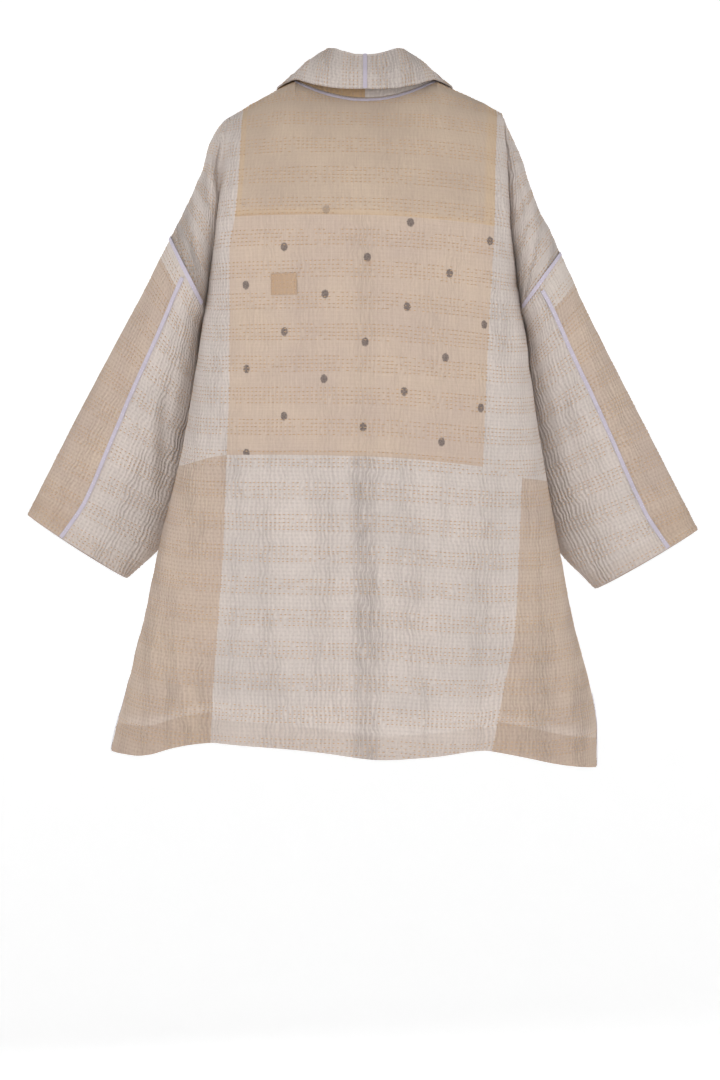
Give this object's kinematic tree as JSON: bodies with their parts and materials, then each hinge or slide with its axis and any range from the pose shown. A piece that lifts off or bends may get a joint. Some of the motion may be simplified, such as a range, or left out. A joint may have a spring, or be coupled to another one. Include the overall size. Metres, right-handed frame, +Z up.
{
  "type": "kimono coat",
  "caption": "Quilted patchwork kimono coat with dropped shoulders, wide sleeves and a folded collar that runs into open front bands, filled out as if worn.",
  "frame": {"origin": "middle of the neck at the height of the shoulder points, where the wearer's shoulders carry the coat", "axes": "+Z up, front faces -Y, wearer's left is +X"},
  "size_m": [0.9503, 0.3309, 1.0006],
  "materials": {
    "cream_quilt": "matte quilted cotton gauze in cream",
    "beige_quilt": "matte quilted cotton gauze in beige",
    "tan_quilt": "matte quilted cotton gauze in tan",
    "seam_tape": "plain woven cotton tape in pale lavender"
  },
  "bodies": {
    "root": {"back_yoke": "tan_quilt", "back_centre": "beige_quilt", "back_side_left": "cream_quilt", "back_side_right": "cream_quilt", "back_lower_centre": "cream_quilt", "back_lower_left": "beige_quilt", "back_lower_right": "beige_quilt", "front_upper_left": "cream_quilt", "front_upper_right": "cream_quilt", "front_lower_left": "beige_quilt", "front_lower_right": "beige_quilt", "sleeve_outer_left": "beige_quilt", "sleeve_outer_right": "beige_quilt", "sleeve_inner_left": "cream_quilt", "sleeve_inner_right": "cream_quilt", "collar_left": "cream_quilt", "collar_right": "cream_quilt", "tape_neck": "seam_tape", "tape_collar": "seam_tape", "tape_armhole_left": "seam_tape", "tape_armhole_right": "seam_tape", "tape_sleeve_left": "seam_tape", "tape_sleeve_right": "seam_tape", "tape_vent_left": "seam_tape", "tape_vent_right": "seam_tape", "mend_patch": "tan_quilt"}
  },
  "joints": []
}
